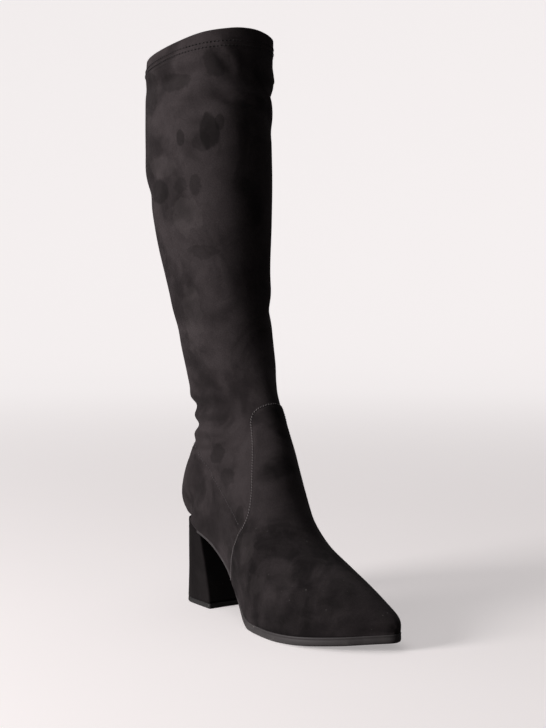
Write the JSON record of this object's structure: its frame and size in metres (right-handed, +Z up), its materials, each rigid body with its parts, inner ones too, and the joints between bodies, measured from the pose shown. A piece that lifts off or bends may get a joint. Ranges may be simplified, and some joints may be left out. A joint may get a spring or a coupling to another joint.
{
  "type": "knee-high boot",
  "caption": "Right knee-high boot in black faux suede with a pointed toe, a flared block heel, a thin rubber sole and an inner side zip.",
  "frame": {"origin": "centre of the heel tip's tread, on the floor", "axes": "+Z up, toe towards -Y, inner side of the foot towards +X"},
  "size_m": [0.0969, 0.2955, 0.4873],
  "materials": {
    "suede": "fine matt nap",
    "rubber": "satin",
    "lining": "matt",
    "tape": "woven",
    "zip": "satin",
    "metal": "dark plated"
  },
  "bodies": {
    "boot": {"upper": "suede", "vamp": "suede", "insole": "lining", "outsole": "rubber", "heel_block": "suede", "heel_tip": "rubber", "zip_tape": "tape", "zip_chain": "zip", "zip_slider": "metal"},
    "pull": {"zip_pull": "metal"}
  },
  "joints": [
    {"name": "pull_hinge", "type": "hinge", "parent": "boot", "child": "pull", "pos_m": [0.03781, -0.02056, 0.46898], "axis": [-0.192, -0.9697, 0.1509], "range_deg": [0, 165]}
  ]
}
